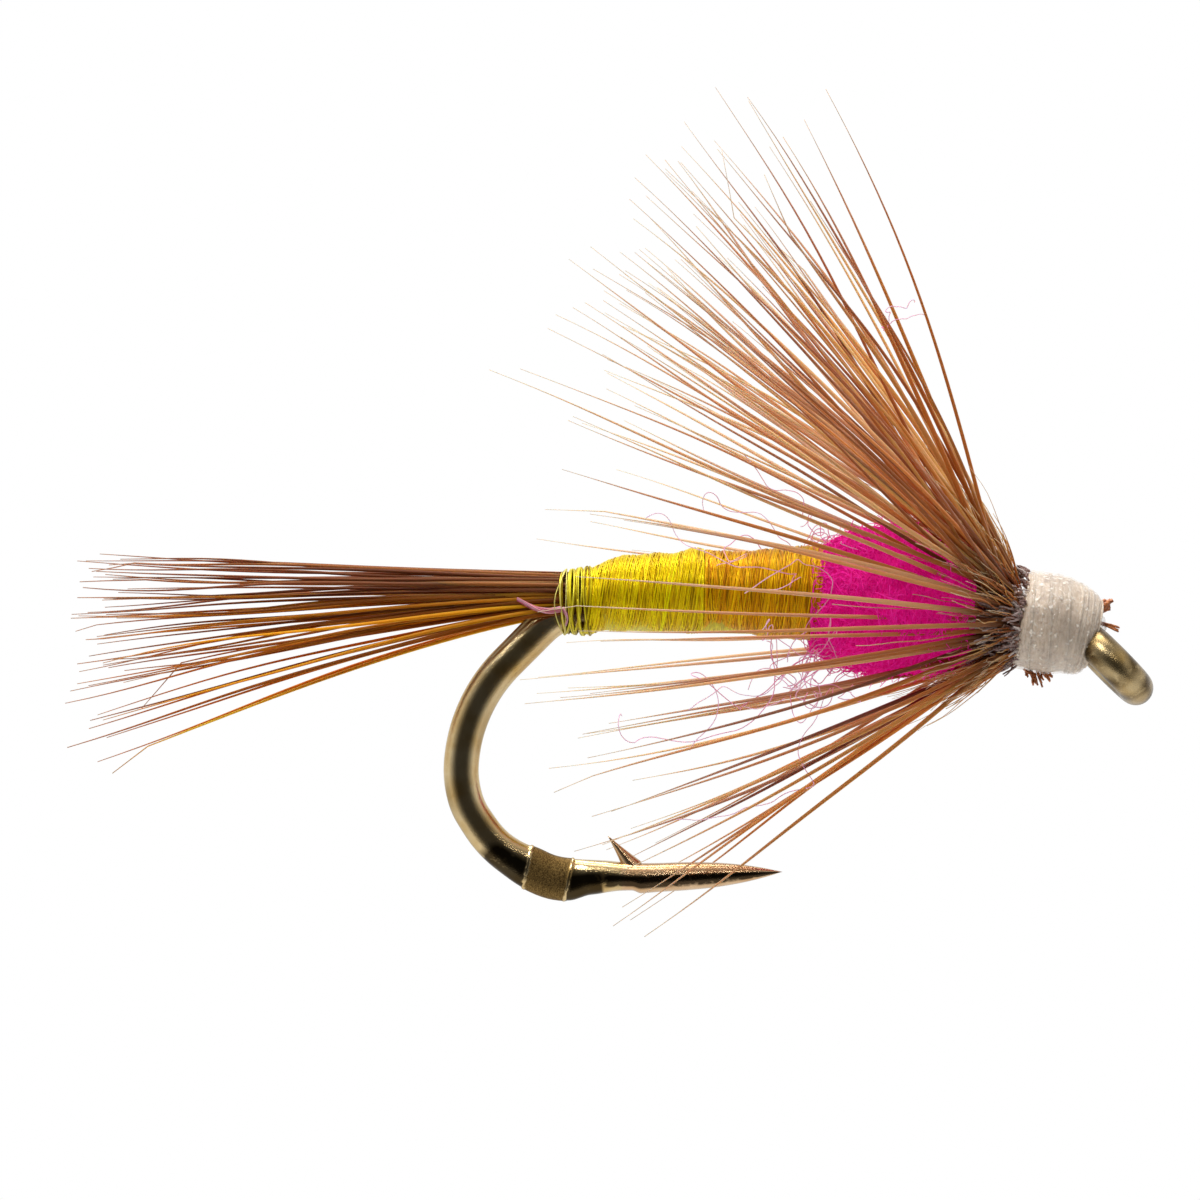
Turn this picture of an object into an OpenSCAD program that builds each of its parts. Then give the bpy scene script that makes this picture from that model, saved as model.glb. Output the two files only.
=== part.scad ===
// Dry fly tied on a down-eyed hook: a splayed tail, a wound floss abdomen, a dubbed
// thorax, a swept-back collar hackle and a varnished thread head.
// The shank runs along X with the eye towards +X, +Z is up, and the origin is the
// middle of the hole in the eye.

/* [Hook] */
// Diameter of the wire along the shank
shank_d = 0.6; // [0.56:0.01:0.62]
// Height of the wire in the bend, where forging has flattened its sides
wire_d = 0.69; // [0.64:0.01:0.72]
// Height of the wire at the bottom of the bend, where it is flattened most
throat_d = 0.84; // [0.7:0.01:0.86]
// Height of the wire where the point begins
point_d = 0.56; // [0.5:0.01:0.6]
// Height of the shank's centreline above the middle of the eye
shank_z = 0.78; // [0.74:0.01:0.84]
// Where the straight shank ends and the bend begins
shank_rear = -10.3; // [-10.6:0.1:-10.1]
// Distance between the centrelines of the shank and of the bend's lowest point
gape = 5.28; // [5.1:0.02:5.6]
// Radius where the bend leaves the shank
shoulder_r = 1.17; // [1.0:0.01:1.3]
// Slope of the straight run between shoulder and heel, in degrees
lean = 46.4; // [44:0.2:48]
// Radius of the bend above its rearmost point
heel_r = 3.08; // [2.9:0.02:3.2]
// Radius of the bend below its rearmost point
throat_r = 2.12; // [2.0:0.02:2.2]
// How far the spear rises towards the shank, in degrees
spear_rise = 4; // [2:0.5:6]
// Length of the spear from the bend to the tip of the point
spear_length = 4.05; // [3.8:0.05:4.3]
// Length of the needle-ground point
needle_length = 2.4; // [2.0:0.1:2.8]
// Downward tilt of the eye, in degrees
eye_drop = 44; // [40:1:48]
// Radius of the eye's ring, to the middle of its wire
eye_r = 0.66; // [0.64:0.01:0.7]
// Diameter of the wire in the eye
eye_wire = 0.68; // [0.6:0.01:0.7]

/* [Tail] */
// Diameter of a tail barb where it is tied in
tail_barb_d = 0.082; // [0.06:0.002:0.09]
// Distance between the middles of neighbouring tail barbs in the bundle
tail_pitch = 0.1; // [0.095:0.005:0.12]
// Length of tail behind the body
tail_length = 9.3; // [8:0.1:10]

/* [Body] */
// Where the floss body starts, at the rear
body_rear = -10.72; // [-10.75:0.01:-10.6]
// Where the rear half of the abdomen meets the front half
body_middle = -8.0; // [-8.4:0.1:-7.6]
// Where the abdomen meets the thorax
body_front = -5.7; // [-5.9:0.1:-5.5]
// Radius of the abdomen at its fattest, in front
abdomen_r = 0.86; // [0.86:0.01:0.9]
// Greatest radius of the thorax
thorax_r = 1.41; // [1.2:0.01:1.5]
// Where the thorax ends, at the front
thorax_front = -2.72; // [-2.8:0.02:-2.66]

/* [Hackle] */
// Turns of the hackle's quill round the shank
hackle_turns = 4; // [3:1:4]
// Barbs on each turn
barbs_a_turn = 27; // [20:1:28]
// Length of the longest hackle barb
barb_length = 11.0; // [9:0.1:11.5]
// Diameter of a hackle barb at its root
barb_d = 0.074; // [0.05:0.002:0.08]
// Diameter of the hackle's quill
quill_d = 0.15; // [0.12:0.01:0.16]

/* [Head] */
// Rear end of the thread head
head_rear = -1.84; // [-1.85:0.01:-1.8]
// Front end of the thread head
head_front = -0.4; // [-0.44:0.01:-0.38]
// Greatest radius of the thread head
head_r = 0.94; // [0.88:0.01:0.96]
// How far the head leans down towards the eye, in degrees
head_tilt = 7; // [4:1:8]
// Thickness of the varnish on the head
varnish = 0.04; // [0.03:0.01:0.05]

/* [Hidden] */
$fn = 48;

wire_r = wire_d / 2;
shank_r = shank_d / 2;
tip_r = 0.008;               // radius left at the tip of a barb or of the point
thread_d = 0.07;
base_r = shank_r + 0.02;     // outside of the thread base on the shank
bundle_z = 0.19;             // how far the tail bundle's middle lies above the shank
bundle_r = 0.52;             // radius of the bundle with the shank in it
binding_r = 0.55;
butt_front = -6.0;           // where the tail barbs' butts end inside the body
underlayer_z = 0.25;
underlayer_r = 0.62;
rear_z = 0.32;               // how far each half of the abdomen lies above the shank
front_z = 0.41;
thorax_z = 0.31;
core_r = 0.7;
hackle_rear = -2.56;
hackle_front = -2.0;
bed_r = 0.62;                // thread built up under the hackle
quill_r = bed_r + quill_d / 2;
butt_count = 8;
butt_r = 0.06;
butt_ring_r = base_r + butt_r + 0.01;
head_bore_r = butt_ring_r + butt_r + 0.01;
head_z = -0.03;
whip_rear = -0.86;           // where the varnish ends and the locking turns begin

// The bend, worked out from the shank backwards. Angles are from +X towards +Z.
turn_in = 90 + lean;
shoulder = [shank_rear, shank_z - shoulder_r];
run_top = shoulder + shoulder_r * heading(turn_in);
run_length = (gape - shoulder_r + (shoulder_r - heel_r) * sin(turn_in) - throat_r) / sin(lean);
run_foot = run_top - run_length * heading(lean);
heel = run_foot - heel_r * heading(turn_in);
throat = [heel.x - heel_r + throat_r, heel.y];
spear = throat + throat_r * heading(270 + spear_rise);
neck_bend_r = 0.45;
neck_meet = shank_z / sin(eye_drop);
neck_trim = neck_bend_r * tan(eye_drop / 2);
neck_x = -neck_meet * cos(eye_drop) - neck_trim;
neck_foot = [-eye_r * cos(eye_drop), 0, eye_r * sin(eye_drop)];
hole_r = eye_r - eye_wire / 2 + 0.03;

function heading(a) = [cos(a), sin(a)];
function unit(v) = v / norm(v);
function mix(a, b, t) = a + (b - a) * t;
// An even spread of values from -1 to 1 for item i, different for each k.
function scatter(i, k) = let (s = i * 0.61803 + k * 0.32471 + i * k * 0.0731)
    2 * (s - floor(s)) - 1;

// ---- thin tapered fibres ----
function heading_at(path, i) =
    unit(path[min(i + 1, len(path) - 1)] - path[max(i - 1, 0)]);
// A ring of n points round p. r is a radius, or the radii across side and along it.
function ring(p, t, side, r, n) = let (
        u = unit(cross(t, side)), w = cross(t, u), d = is_num(r) ? [r, r] : r)
    [for (k = [0:n - 1]) p + d.x * cos(360 * k / n) * u + d.y * sin(360 * k / n) * w];
function fibre_points(path, radii, side, n) =
    [for (i = [0:len(path) - 1]) each ring(path[i], heading_at(path, i), side, radii[i], n)];
function fibre_faces(m, n, first) = [
    [for (k = [0:n - 1]) first + k],
    [for (k = [n - 1:-1:0]) first + (m - 1) * n + k],
    for (i = [0:m - 2], k = [0:n - 1])
        let (a = first + i * n + k, b = first + i * n + (k + 1) % n)
            each [[a, a + n, b + n], [a, b + n, b]]
];

// One closed tube for each [path, radii, side] in the list, all with as many points.
module fibres(list, n = 4) {
    m = len(list[0][0]);
    polyhedron(
        points = [for (f = list) each fibre_points(f[0], f[1], f[2], n)],
        faces = [for (j = [0:len(list) - 1]) each fibre_faces(m, n, j * m * n)]);
}

// ---- solids along the shank ----
module rod(x0, x1, r, z = 0)
    translate([x0, 0, shank_z + z]) rotate([0, 90, 0]) cylinder(h = x1 - x0, r = r);

// A turned solid about an axis parallel to the shank, from [x, radius] points.
module turned(outline, z = 0)
    translate([0, 0, shank_z + z]) rotate([0, 90, 0]) rotate_extrude()
        polygon(concat([[0, outline[0].x]], [for (p = outline) [p.y, p.x]],
                       [[0, outline[len(outline) - 1].x]]));

// ---- hook ----
function arc(centre, r, from, to, steps) = [for (i = [0:steps])
    let (a = mix(from, to, i / steps)) [centre.x + r * cos(a), 0, centre.y + r * sin(a)]];
function needle_radius(t) = point_d / 2 * (1 - pow(t, 2.5)) + tip_r * t;

// Forging spreads the wire in height and thins it in width by as much.
function forged(height) = [height / 2, shank_r * shank_r / (height / 2)];
// Height of the wire, and how far it has been pushed outwards, at angles round the throat.
throat_height = [[180, wire_d], [226, wire_d + 0.01], [250, throat_d], [274, throat_d - 0.02]];
throat_push = [[180, 0], [200, 0.03], [210, 0.08], [238, 0.12], [250, 0.11], [262, 0.05], [274, 0.03]];
// The same at distances along the spear, up to where the point begins.
spear_height = [[0.3, 0.68], [0.7, 0.64], [1.1, 0.61]];
spear_push = [[0.3, 0.08], [0.7, 0.05], [1.1, 0]];

function spear_at(s, push) =
    let (p = spear + s * heading(spear_rise) + push * heading(spear_rise - 90)) [p.x, 0, p.y];

// The wire from the eye's ring, along the shank and round the bend to the point.
module hook_wire() {
    needle_steps = 9;
    throat_steps = 15;
    shank = concat([neck_foot], arc([neck_x, shank_z - neck_bend_r], neck_bend_r, 90 - eye_drop, 90, 4),
                   [[shoulder.x, 0, shank_z]]);
    bend = concat([for (p = arc(shoulder, shoulder_r, 90, turn_in, 6)) if (p.x < shoulder.x) p],
                  [for (p = arc(heel, heel_r, turn_in, 180, 6)) if (p.x > throat.x - throat_r) p]);
    angles = [for (i = [0:throat_steps]) mix(180, 270 + spear_rise, i / throat_steps)];
    turned_in = [for (a = angles)
        let (p = throat + (throat_r + lookup(a, throat_push)) * heading(a)) [p.x, 0, p.y]];
    needle = [for (i = [0:needle_steps])
        spear_at(spear_length - needle_length * (1 - i / needle_steps), 0)];
    path = concat(shank, bend, turned_in, [for (p = spear_push) spear_at(p.x, p.y)], needle);
    sizes = concat([for (p = shank) [shank_r, shank_r]], [for (p = bend) forged(wire_d)],
                   [for (a = angles) forged(lookup(a, throat_height))],
                   [for (p = spear_height) forged(p.y)],
                   [for (i = [0:needle_steps]) let (r = needle_radius(i / needle_steps)) [r, r]]);
    fibres([[path, sizes, [0, 1, 0]]], 16);
}

// The barb is a sliver sliced up out of the wire, so it leans back from the point.
module barb() {
    thickness = 0.2;
    translate([spear.x, 0, spear.y]) rotate([90, -spear_rise, 0])
        translate([0, 0, -thickness / 2]) linear_extrude(thickness)
            polygon([[0.98, 0.18], [1.5, 0.18], [1.42, 0.34], [0.68, 0.85], [1.06, 0.3]]);
}

module eye_ring()
    rotate([0, eye_drop, 0]) rotate_extrude() translate([eye_r, 0]) circle(d = eye_wire);

module hook()
    color("#6b5a2c") difference() {
        union() {
            hook_wire();
            barb();
            eye_ring();
        }
        rotate([0, eye_drop, 0]) cylinder(h = 4, r = hole_r, center = true);
    }

module thread_base()
    color("#e9e2d6") difference() {
        rod(shank_rear + 0.1, neck_x - 0.02, base_r);
        rod(shank_rear, neck_x, shank_r);
    }

// ---- tail ----
// The bundle fills the crescent between the shank and the binding, on a close-packed grid.
tail_spots = [
    for (row = [-6:6], col = [-6:6])
        let (y = (col + (abs(row) % 2) / 2) * tail_pitch, z = bundle_z + row * tail_pitch * sin(60))
            if (norm([y, z - bundle_z]) < bundle_r - tail_barb_d / 2
                && norm([y, z]) > base_r + tail_barb_d / 2) [y, z]];

function tail_barb(spot, i) = let (
        y = spot.x, z = spot.y,
        low = (bundle_z + bundle_r - z) / (2 * bundle_r),
        reach = tail_length * (1 + 0.06 * scatter(i, 2)) - 1.1 * low,
        drop = 4.3 * pow(low, 1.5) + 0.32 * scatter(i, 3),
        spread = 2.1 * y + 0.25 * scatter(i, 4),
        start = body_rear - 0.05,
        path = concat(
            [[butt_front - 0.5 * abs(scatter(i, 5)), y, shank_z + z]],
            [for (s = [0, 0.22, 0.5, 0.78, 1])
                [start - reach * s, y + spread * pow(s, 1.4), shank_z + z - drop * pow(s, 1.35)]]),
        r = tail_barb_d / 2)
    [path, [r, r, r * 0.96, r * 0.82, r * 0.55, tip_r], [0, 1, 0]];

module tail_barbs(lowest, highest)
    fibres([for (i = [0:len(tail_spots) - 1])
        if (tail_spots[i].y > lowest && tail_spots[i].y <= highest) tail_barb(tail_spots[i], i)]);

module tail_barbs_upper() color("#6e4526") tail_barbs(0.5, 1);
module tail_barbs_middle() color("#7c4d24") tail_barbs(0.3, 0.5);
module tail_barbs_lower() color("#a5691f") tail_barbs(-1, 0.3);

module tail_binding()
    color("#e9e2d6") difference() {
        rod(shank_rear + 0.1, butt_front, binding_r, bundle_z);
        rod(shank_rear, butt_front + 1, bundle_r, bundle_z);
    }

// ---- floss body ----
module floss_tie_in() {
    rear_r = binding_r + 0.05;
    color("#c9c02a") difference() {
        turned([[body_rear, rear_r - 0.02], [body_rear + 0.06, rear_r],
                [shank_rear + 0.08, rear_r + 0.02]], bundle_z);
        rod(body_rear - 1, shank_rear + 1, bundle_r, bundle_z);
        hook_wire();
    }
}

module floss_underlayer()
    color("#d8c81c") difference() {
        rod(shank_rear + 0.2, body_front - 0.1, underlayer_r, underlayer_z);
        rod(shank_rear, butt_front, binding_r, bundle_z);
        rod(butt_front - 1, body_front, base_r);
    }

module floss_layer(outline, z)
    difference() {
        turned(outline, z);
        rod(shank_rear, body_front + 1, underlayer_r, underlayer_z);
        rod(shank_rear - 1, shank_rear + 0.2, binding_r, bundle_z);
    }

module abdomen_floss_rear()
    color("#d9d100") floss_layer([[shank_rear + 0.1, abdomen_r - 0.16],
        [shank_rear + 0.5, abdomen_r - 0.13], [body_middle - 1.2, abdomen_r - 0.1],
        [body_middle - 0.5, abdomen_r - 0.05], [body_middle - 0.02, abdomen_r - 0.1]], rear_z);

module abdomen_floss_front()
    color("#d0a80a") floss_layer([[body_middle, abdomen_r - 0.06],
        [body_middle + 0.4, abdomen_r - 0.01], [body_front - 0.6, abdomen_r],
        [body_front - 0.02, abdomen_r - 0.06]], front_z);

// Filaments that came away from the floss where it was tied in.
module floss_stray_loops() {
    filament_d = 0.024;
    tilt = 8;
    color("#d8cf5a") for (i = [0, 1])
        translate([body_rear + 0.12 + 0.1 * i, 0, shank_z + bundle_z]) rotate([0, 90 + tilt, 0])
            rotate_extrude() translate([binding_r + 0.1, 0]) circle(d = filament_d);
}

// ---- thorax ----
module thorax_core()
    color("#c2187c") difference() {
        rod(body_front, thorax_front, core_r);
        rod(body_front - 1, thorax_front + 1, base_r);
    }

module thorax_dubbing() {
    length = thorax_front - body_front;
    steps = 14;
    // full in the middle, blunt at the rear and tapering under the hackle
    outline = [for (i = [0:steps]) let (t = i / steps)
        [body_front + length * t,
         mix(0.76, 1.04, t) + (thorax_r - 0.9) * pow(sin(180 * pow(t, 0.75)), 0.8)]];
    color("#e3109a") difference() {
        turned(outline, thorax_z);
        rod(body_front - 1, thorax_front + 1, core_r);
    }
}

function dubbing_fibre(i) = let (
        x = mix(body_front + 0.3, thorax_front - 0.5, (scatter(i, 1) + 1) / 2),
        around = 360 * i * 0.381966,
        out = [0, -sin(around), cos(around)],
        side = [0, cos(around), sin(around)],
        root = [x, 0, shank_z + thorax_z] + out * (thorax_r + 0.03),
        reach = 1.3 + 0.5 * scatter(i, 2),
        path = [for (t = [0, 0.25, 0.5, 0.75, 1])
            root + reach * ((0.35 * t + 0.25 * sin(150 * t)) * out + 0.08 * sin(260 * t) * side
                            - [t * t, 0, 0])])
    [path, [for (p = path) 0.02], side];

module dubbing_fibres() color("#f04fb8") fibres([for (i = [0:23]) dubbing_fibre(i)]);

// ---- hackle ----
function around_shank(x, r, a) = [x, -r * sin(a), shank_z + r * cos(a)];

module hackle_bed()
    color("#ddd2c4") difference() {
        rod(thorax_front + 0.02, head_rear - 0.1, bed_r);
        rod(thorax_front, head_rear, base_r);
    }

module hackle_quill() {
    steps = 16 * hackle_turns;
    path = [for (i = [0:steps])
        around_shank(mix(hackle_rear, hackle_front, i / steps), quill_r, 360 * i * hackle_turns / steps)];
    color("#6a4a3c") fibres([[path, [for (p = path) quill_d / 2 - 0.004], [1, 0, 0]]], 6);
}

// Barbs stand off the quill in order, crowded to the top of each turn and less so the bottom.
function hackle_angle(i) = let (even = 360 * (i + 0.5) / barbs_a_turn)
    even - 20 * sin(2 * even) - 14 * sin(even);
// Those on top rake up most, and vary most.
function hackle_barb(i) = let (
        last = hackle_turns * barbs_a_turn,
        a = hackle_angle(i),
        rake = 24 + 12 * cos(a) + 14 * cos(a) * cos(a)
            + (12 + 7 * cos(a) * cos(a)) * scatter(i, 2),
        lean_side = a + 4 * scatter(i, 4),
        reach = barb_length * (0.96 + 0.06 * scatter(i, 3)) - 0.7 * (1 - cos(a)),
        bow = 7 + 3 * scatter(i, 5),
        out = [0, -sin(lean_side), cos(lean_side)],
        root = around_shank(mix(hackle_rear, hackle_front, i / last), quill_r + quill_d / 2 + 0.03, a),
        path = [for (s = [0, 0.2, 0.45, 0.72, 1]) let (slope = rake + bow * (1 - s))
            root + reach * s * ([-cos(slope), 0, 0] + sin(slope) * out)],
        r = barb_d / 2)
    [path, [r, r * 0.95, r * 0.85, r * 0.6, tip_r], [0, cos(lean_side), sin(lean_side)]];

// The barbs whose turned position, from straight up round to -Y, lies in this range. Where
// one in every so many was clipped away, those are left out.
module hackle_barbs(from, to, clipped = 1000)
    fibres([for (i = [0:hackle_turns * barbs_a_turn - 1])
        let (a = (hackle_angle(i) + 50) % 360 - 50)
            if (a >= from && a < to && i % clipped != 3) hackle_barb(i)]);

module hackle_barbs_crown() color("#a5642c") hackle_barbs(-50, 50);
module hackle_barbs_near() color("#b4783c") hackle_barbs(50, 130);
module hackle_barbs_beard() color("#a86a2e") hackle_barbs(130, 230, 4);
module hackle_barbs_far() color("#b98a5a") hackle_barbs(230, 310);

// Short soft fluff between the hackle and the head.
function down_hair(i) = let (
        a = 360 * (i + 0.5) / 36,
        out = [0, -sin(a), cos(a)],
        root = around_shank(hackle_front + 0.05, quill_r + quill_d / 2 + 0.08, a),
        reach = 1.25 + 0.35 * scatter(i, 2),
        slope = 62 + 10 * scatter(i, 3),
        path = [for (s = [0, 0.35, 0.7, 1]) let (tilt = slope + 12 * (1 - s))
            root + reach * s * ([-cos(tilt), 0, 0] + sin(tilt) * out)])
    [path, [0.018, 0.016, 0.014, tip_r], [0, cos(a), sin(a)]];

module hackle_down() color("#d8a878") fibres([for (i = [0:35]) down_hair(i)]);

// ---- head ----
head_outline = [[head_rear, head_r - 0.06], [head_rear + 0.1, head_r - 0.02],
                [-1.2, head_r], [-0.8, head_r - 0.05], [-0.55, head_r - 0.16], [head_front, 0.6]];
function head_radius(x) = lookup(x, head_outline);

// Leans a solid about the middle of the head.
module leaning()
    translate([-1.15, 0, shank_z + head_z]) rotate([0, head_tilt, 0])
        translate([1.15, 0, -shank_z - head_z]) children();

// The head from its rear end forward to a given place, grown by a skin.
module head_shape(front, skin = 0)
    leaning() turned(concat([for (p = head_outline) if (p.x < front) [p.x, p.y + skin]],
                            [[front, head_radius(front) + skin]]), head_z);

module around_shank_at(a)
    translate([0, 0, shank_z]) rotate([a, 0, 0]) translate([0, 0, -shank_z]) children();

module quill_butts()
    color("#8a6248") for (i = [0:butt_count - 1])
        around_shank_at(360 * i / butt_count)
            rod(head_rear + 0.02, -0.98 - 0.06 * (i % 3), butt_r, butt_ring_r);

module head_thread()
    color("#ddd2c4") difference() {
        head_shape(head_front);
        rod(head_rear - 1, -0.94, head_bore_r);
        rod(-1.2, neck_x, base_r);
        hook_wire();
    }

module head_varnish()
    color("#f4ece0") difference() {
        head_shape(whip_rear, varnish);
        head_shape(whip_rear + 0.01);
        leaning() rod(head_rear - 1, head_rear + 0.01, head_r - 0.06, head_z);
    }

// The last turns of thread, drawn tight behind the eye.
module whip_finish()
    color("#efe8de") for (i = [0:3]) {
        x = whip_rear + (i + 0.6) * thread_d;
        leaning() translate([x, 0, shank_z + head_z]) rotate([0, 90, 0])
            rotate_extrude() translate([head_radius(x) + 0.45 * thread_d, 0]) circle(d = thread_d);
    }

// ---- clipped ends ----
module stub(p, tilt, length, r1, r2)
    translate(p) rotate([0, tilt, 0]) cylinder(h = length, r1 = r1, r2 = r2);

module clipped_quill_tip() color("#b5622c") stub([head_front, 0, 1.06], 70, 0.34, 0.06, 0.1);
module clipped_thread_end() color("#e9e2d6") stub([head_front, -0.1, 0.86], 105, 0.62, 0.03, 0.03);
module clipped_beard_stub()
    color("#b5622c") stub([-1.45, 0, shank_z + head_z - head_r - varnish], 168, 0.26, 0.15, 0.03);

hook();
thread_base();
tail_barbs_upper();
tail_barbs_middle();
tail_barbs_lower();
tail_binding();
floss_tie_in();
floss_underlayer();
abdomen_floss_rear();
abdomen_floss_front();
floss_stray_loops();
thorax_core();
thorax_dubbing();
dubbing_fibres();
hackle_bed();
hackle_quill();
hackle_barbs_crown();
hackle_barbs_near();
hackle_barbs_far();
hackle_barbs_beard();
hackle_down();
quill_butts();
head_thread();
whip_finish();
head_varnish();
clipped_quill_tip();
clipped_beard_stub();
clipped_thread_end();
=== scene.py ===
import math

import bpy
import numpy as np
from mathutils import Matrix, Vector


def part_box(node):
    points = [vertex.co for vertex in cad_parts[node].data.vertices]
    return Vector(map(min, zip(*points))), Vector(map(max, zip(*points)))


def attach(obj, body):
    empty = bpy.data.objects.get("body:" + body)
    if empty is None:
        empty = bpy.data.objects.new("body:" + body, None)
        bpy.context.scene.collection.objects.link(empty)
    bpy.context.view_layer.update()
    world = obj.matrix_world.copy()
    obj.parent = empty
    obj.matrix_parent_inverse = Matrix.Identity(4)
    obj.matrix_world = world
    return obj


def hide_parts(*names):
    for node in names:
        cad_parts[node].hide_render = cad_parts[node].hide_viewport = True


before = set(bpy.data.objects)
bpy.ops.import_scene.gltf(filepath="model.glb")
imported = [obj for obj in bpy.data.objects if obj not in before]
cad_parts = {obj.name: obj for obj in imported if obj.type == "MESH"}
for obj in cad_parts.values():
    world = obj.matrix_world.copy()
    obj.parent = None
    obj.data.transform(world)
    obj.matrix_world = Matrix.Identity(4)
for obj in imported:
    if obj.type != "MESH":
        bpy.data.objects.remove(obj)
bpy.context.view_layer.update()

# Lengths here are millimetres in the CAD's frame, and MM turns them into Blender's metres.
MM = 0.001
X, Y, Z = np.eye(3)


# ------ the frame's own sizes
def span(node, axis):
    low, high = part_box(node)
    return low[axis] / MM, high[axis] / MM


def middle(node, axis):
    return sum(span(node, axis)) / 2


def corners(node):
    """A node's lowest and highest corners in millimetres."""
    return [np.array(corner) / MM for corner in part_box(node)]


def radius_of(node):
    low, high = span(node, 2)
    return (high - low) / 2


SHANK_Z = middle("thread_base", 2)
SHANK_R = radius_of("thread_base") - 0.02
BODY_REAR = span("floss_tie_in", 0)[0]
BODY_MIDDLE = span("abdomen_floss_front", 0)[0]
THORAX_REAR, THORAX_FRONT = span("thorax_dubbing", 0)
HACKLE_REAR, HACKLE_FRONT = span("hackle_quill", 0)
QUILL_R = radius_of("hackle_quill")


# ------ arithmetic
def mix(a, b, t):
    return a + (b - a) * t


def ramp(low, high, value):
    t = np.clip((value - low) / (high - low), 0, 1)
    return t * t * (3 - 2 * t)


def unit(v):
    return v / np.linalg.norm(v, axis=-1, keepdims=True)


def heading(angle):
    return np.array([math.cos(math.radians(angle)), 0, math.sin(math.radians(angle))])


def colour(text):
    """The linear colour of a six-digit sRGB colour."""
    parts = np.array([int(text[i:i + 2], 16) for i in (0, 2, 4)]) / 255
    return np.where(parts <= 0.04045, parts / 12.92, ((parts + 0.055) / 1.055) ** 2.4)


def wander(rng, count, steps, waves=3):
    """Smooth random curves from about -1 to 1: one row of steps values for each."""
    t = np.linspace(0, 1, steps)
    total = np.zeros((count, steps))
    for k in range(1, waves + 1):
        phase, size = rng.uniform(0, 2 * np.pi, (count, 1)), rng.normal(0, 0.7 / k, (count, 1))
        total += size * np.sin(2 * np.pi * k * t * 0.8 + phase)
    return total


def shake(rng, count, steps, waves=3):
    """The same in all three directions: count x steps x 3."""
    return np.stack([wander(rng, count, steps, waves) for _ in range(3)], -1)


def pick(rng, stops, count):
    """One of the colours in stops for each of count fibres."""
    return np.array([colour(stop) for stop in stops])[rng.integers(0, len(stops), count)]


def run(steps):
    """Even steps from 0 to 1 along a fibre, as one row."""
    return np.linspace(0, 1, steps)[None]


def full_turn(sides):
    """Even angles once round."""
    return 2 * np.pi * np.arange(sides) / sides


def grid(low, high, steps, sides):
    """Places from low to high along a skin and angles round it, both steps x sides."""
    return np.meshgrid(np.linspace(low, high, steps), full_turn(sides), indexing="ij")


def round_axis(x, r, angle, z=SHANK_Z):
    """Points round the shank, or an axis z high: angle 0 is straight up, 90 degrees is -Y."""
    return np.stack([x + 0 * angle, -r * np.sin(angle), z + r * np.cos(angle)], -1)


def swept(rake, angle):
    """Directions that point back along the shank and rise rake from it, at angle round it."""
    return np.stack([-np.cos(rake), -np.sin(rake) * np.sin(angle), np.sin(rake) * np.cos(angle)], -1)


# ------ meshes
def new_piece(name, points, faces, paint=None):
    """An object from points in millimetres, with an optional colour for each point."""
    mesh = bpy.data.meshes.new(name)
    mesh.from_pydata((points * MM).tolist(), [], faces)
    mesh.polygons.foreach_set("use_smooth", np.ones(len(mesh.polygons), bool))
    if paint is not None:
        layer = mesh.attributes.new("paint", "FLOAT_COLOR", "POINT")
        rgba = np.concatenate([paint, np.ones((len(paint), 1))], 1)
        layer.data.foreach_set("color", rgba.astype(np.float32).ravel())
    mesh.update()
    piece = bpy.data.objects.new(name, mesh)
    bpy.context.scene.collection.objects.link(piece)
    return piece


def install(piece, material, slot, *nodes):
    piece.data.materials.clear()
    piece.data.materials.append(material)
    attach(piece, "root")
    if nodes:
        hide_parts(*nodes)
    return piece


def quads(steps, sides):
    """The faces between rings of sides points, each ring after the last."""
    at = np.arange(steps - 1)[:, None] * sides
    a, b = at + np.arange(sides), at + (np.arange(sides) + 1) % sides
    return np.stack([a, b, b + sides, a + sides], -1).reshape(-1, 4)


def tubes(paths, radii, sides=5, flat=1.0, twist=0.0):
    """Closed tubes along many paths at once: paths is N x M x 3 and radii N x M.
    flat is the thickness across each tube's own width, which turns by twist along it."""
    count, steps, _ = paths.shape
    along = unit(np.gradient(paths, axis=1))
    spare = np.where(np.abs(along[:, :1, 2:]) > 0.8, X, Z)
    u = unit(spare[:, 0] - (spare[:, 0] * along[:, 0]).sum(-1, keepdims=True) * along[:, 0])
    frames = []
    for i in range(steps):
        u = unit(u - (u * along[:, i]).sum(-1, keepdims=True) * along[:, i])
        frames.append(u)
    u = np.stack(frames, 1)
    w = np.cross(along, u)
    turn = run(steps)[..., None] * twist
    angle = full_turn(sides)
    c, s = np.cos(angle)[None, None, :, None], flat * np.sin(angle)[None, None, :, None]
    ct, st = np.cos(turn)[..., None], np.sin(turn)[..., None]
    wide, thin = u[:, :, None] * ct + w[:, :, None] * st, w[:, :, None] * ct - u[:, :, None] * st
    rings = paths[:, :, None] + radii[:, :, None, None] * (c * wide + s * thin)
    first = np.arange(count)[:, None, None] * steps * sides
    walls = (first + quads(steps, sides)).reshape(-1, 4).tolist()
    start = (first[:, 0] + np.arange(sides)[::-1]).tolist()
    end = (first[:, 0] + (steps - 1) * sides + np.arange(sides)).tolist()
    return rings.reshape(-1, 3), walls + start + end


def fibre_piece(name, paths, radii, paint, sides=5, flat=1.0, twist=0.0):
    """One piece of many tubes; paint is N x M x 3, a colour at each point of each path."""
    points, faces = tubes(paths, radii, sides, flat, twist)
    return new_piece(name, points, faces, np.repeat(paint.reshape(-1, 3), sides, axis=0))


def joined(parts):
    """One list of points and one of faces from several (points, faces) pairs."""
    points, faces, first = [], [], 0
    for p, f in parts:
        points.append(p)
        faces += [[first + i for i in face] for face in f]
        first += len(p)
    return np.concatenate(points), faces


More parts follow.
